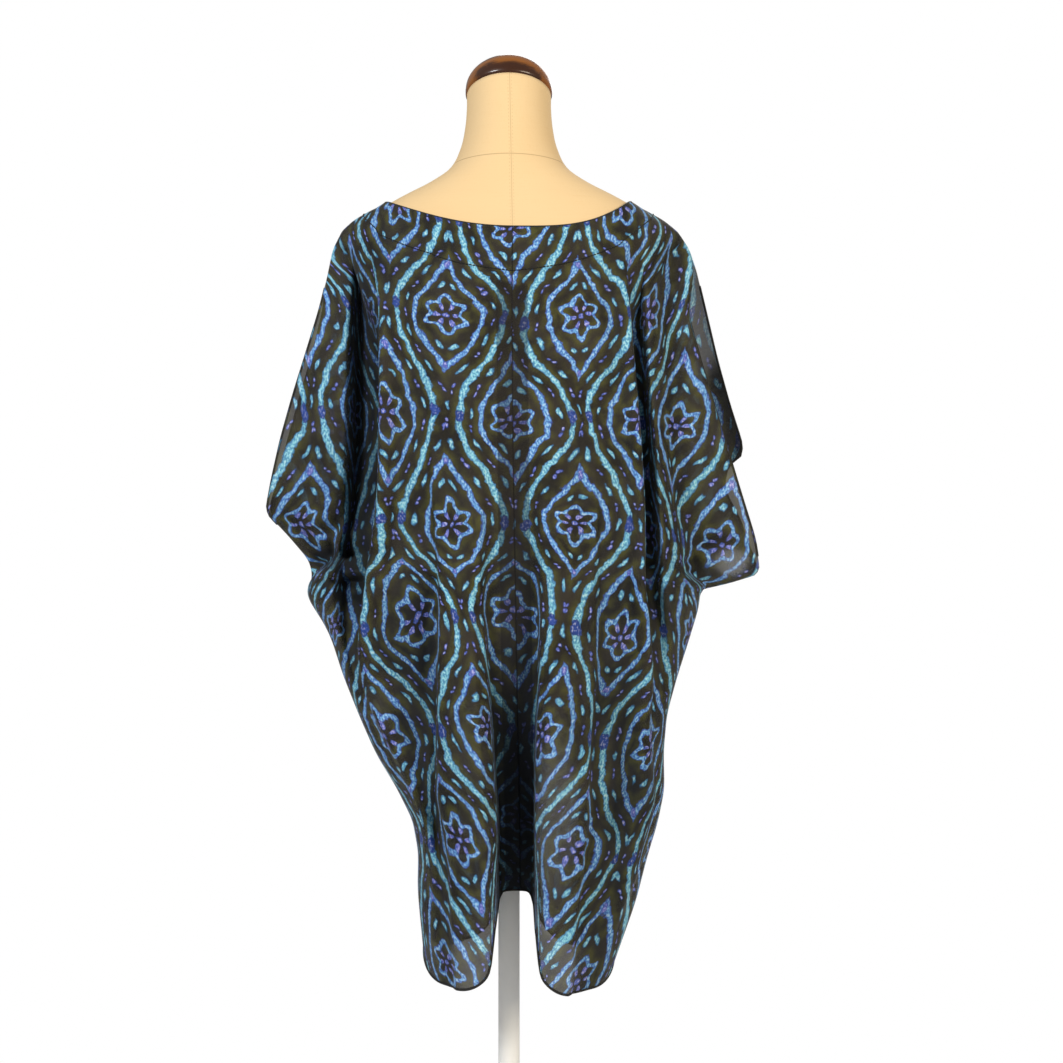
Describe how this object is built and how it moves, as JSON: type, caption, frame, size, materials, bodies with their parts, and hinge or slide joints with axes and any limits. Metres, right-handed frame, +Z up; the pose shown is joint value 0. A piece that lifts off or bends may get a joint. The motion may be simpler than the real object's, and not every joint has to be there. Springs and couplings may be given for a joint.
{
  "type": "kaftan on a dress form",
  "caption": "loose short kaftan of thin cloth with wide open sleeves and a scoop neck, worn by a limbless dress form on a pole with a round base",
  "frame": {"origin": "on the floor, under the pole's axis, in the middle of the base's underside", "axes": "+Z up; the garment's back faces -Y and its front +Y; +X is at the right as one looks at the back"},
  "size_m": [0.5805, 0.36, 1.5144],
  "materials": {
    "printed_cloth": "thin matte crepe, printed",
    "facing_cloth": "thin matte crepe",
    "form_linen": "cream linen over the form",
    "turned_wood": "dark brown, glossy lacquer",
    "stand_paint": "white paint, satin"
  },
  "bodies": {
    "root": {"back_left": "printed_cloth", "back_right": "printed_cloth", "front_left": "printed_cloth", "front_right": "printed_cloth", "neck_facing_back": "facing_cloth", "neck_facing_front": "facing_cloth", "dress_form": "form_linen", "neck_cap": "turned_wood", "stand_base": "stand_paint", "pole_socket": "stand_paint", "stand_pole": "stand_paint", "form_collar": "stand_paint"}
  },
  "joints": []
}
